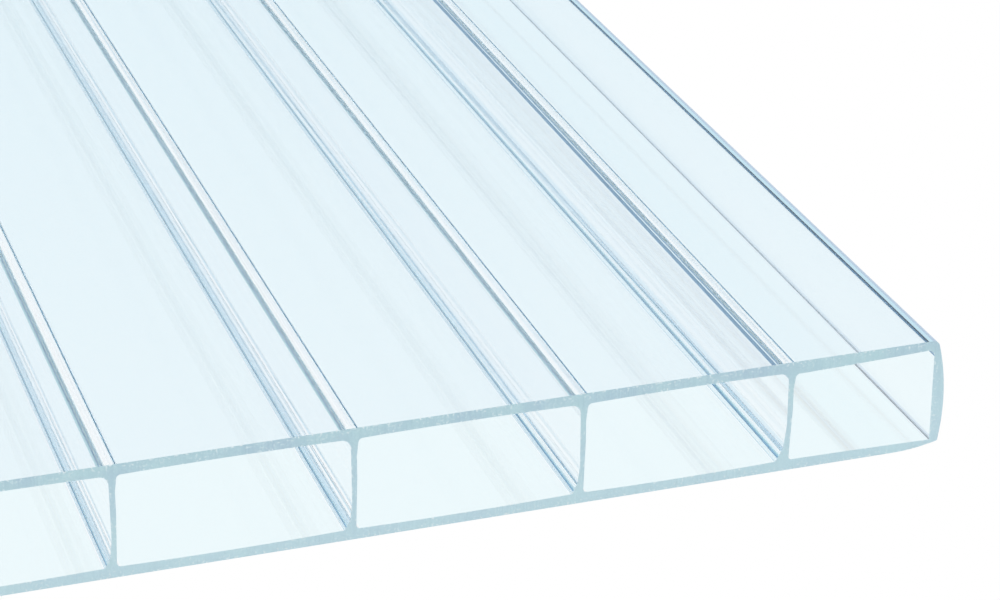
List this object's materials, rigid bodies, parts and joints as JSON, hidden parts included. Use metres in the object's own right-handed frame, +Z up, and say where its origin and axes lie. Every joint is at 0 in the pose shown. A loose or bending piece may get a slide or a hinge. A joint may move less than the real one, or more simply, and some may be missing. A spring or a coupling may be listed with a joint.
{
  "type": "twin-wall acrylic sheet",
  "caption": "Long clear glazing sheet: flat skins joined by upright webs into open-ended cells, with crowned side walls and sawn ends.",
  "frame": {"origin": "middle of the flat underside, where the sheet lies", "axes": "+X across the sheet, +Y along the extrusion away from the cut end in the picture, +Z up through the thickness"},
  "size_m": [0.98, 2, 0.016],
  "materials": {
    "clear_acrylic": "clear with a faint cold blue tint and glass-smooth skins and webs; sawn ends matt and frosted"
  },
  "bodies": {
    "root": {"twin_wall_sheet": "clear_acrylic"}
  },
  "joints": []
}
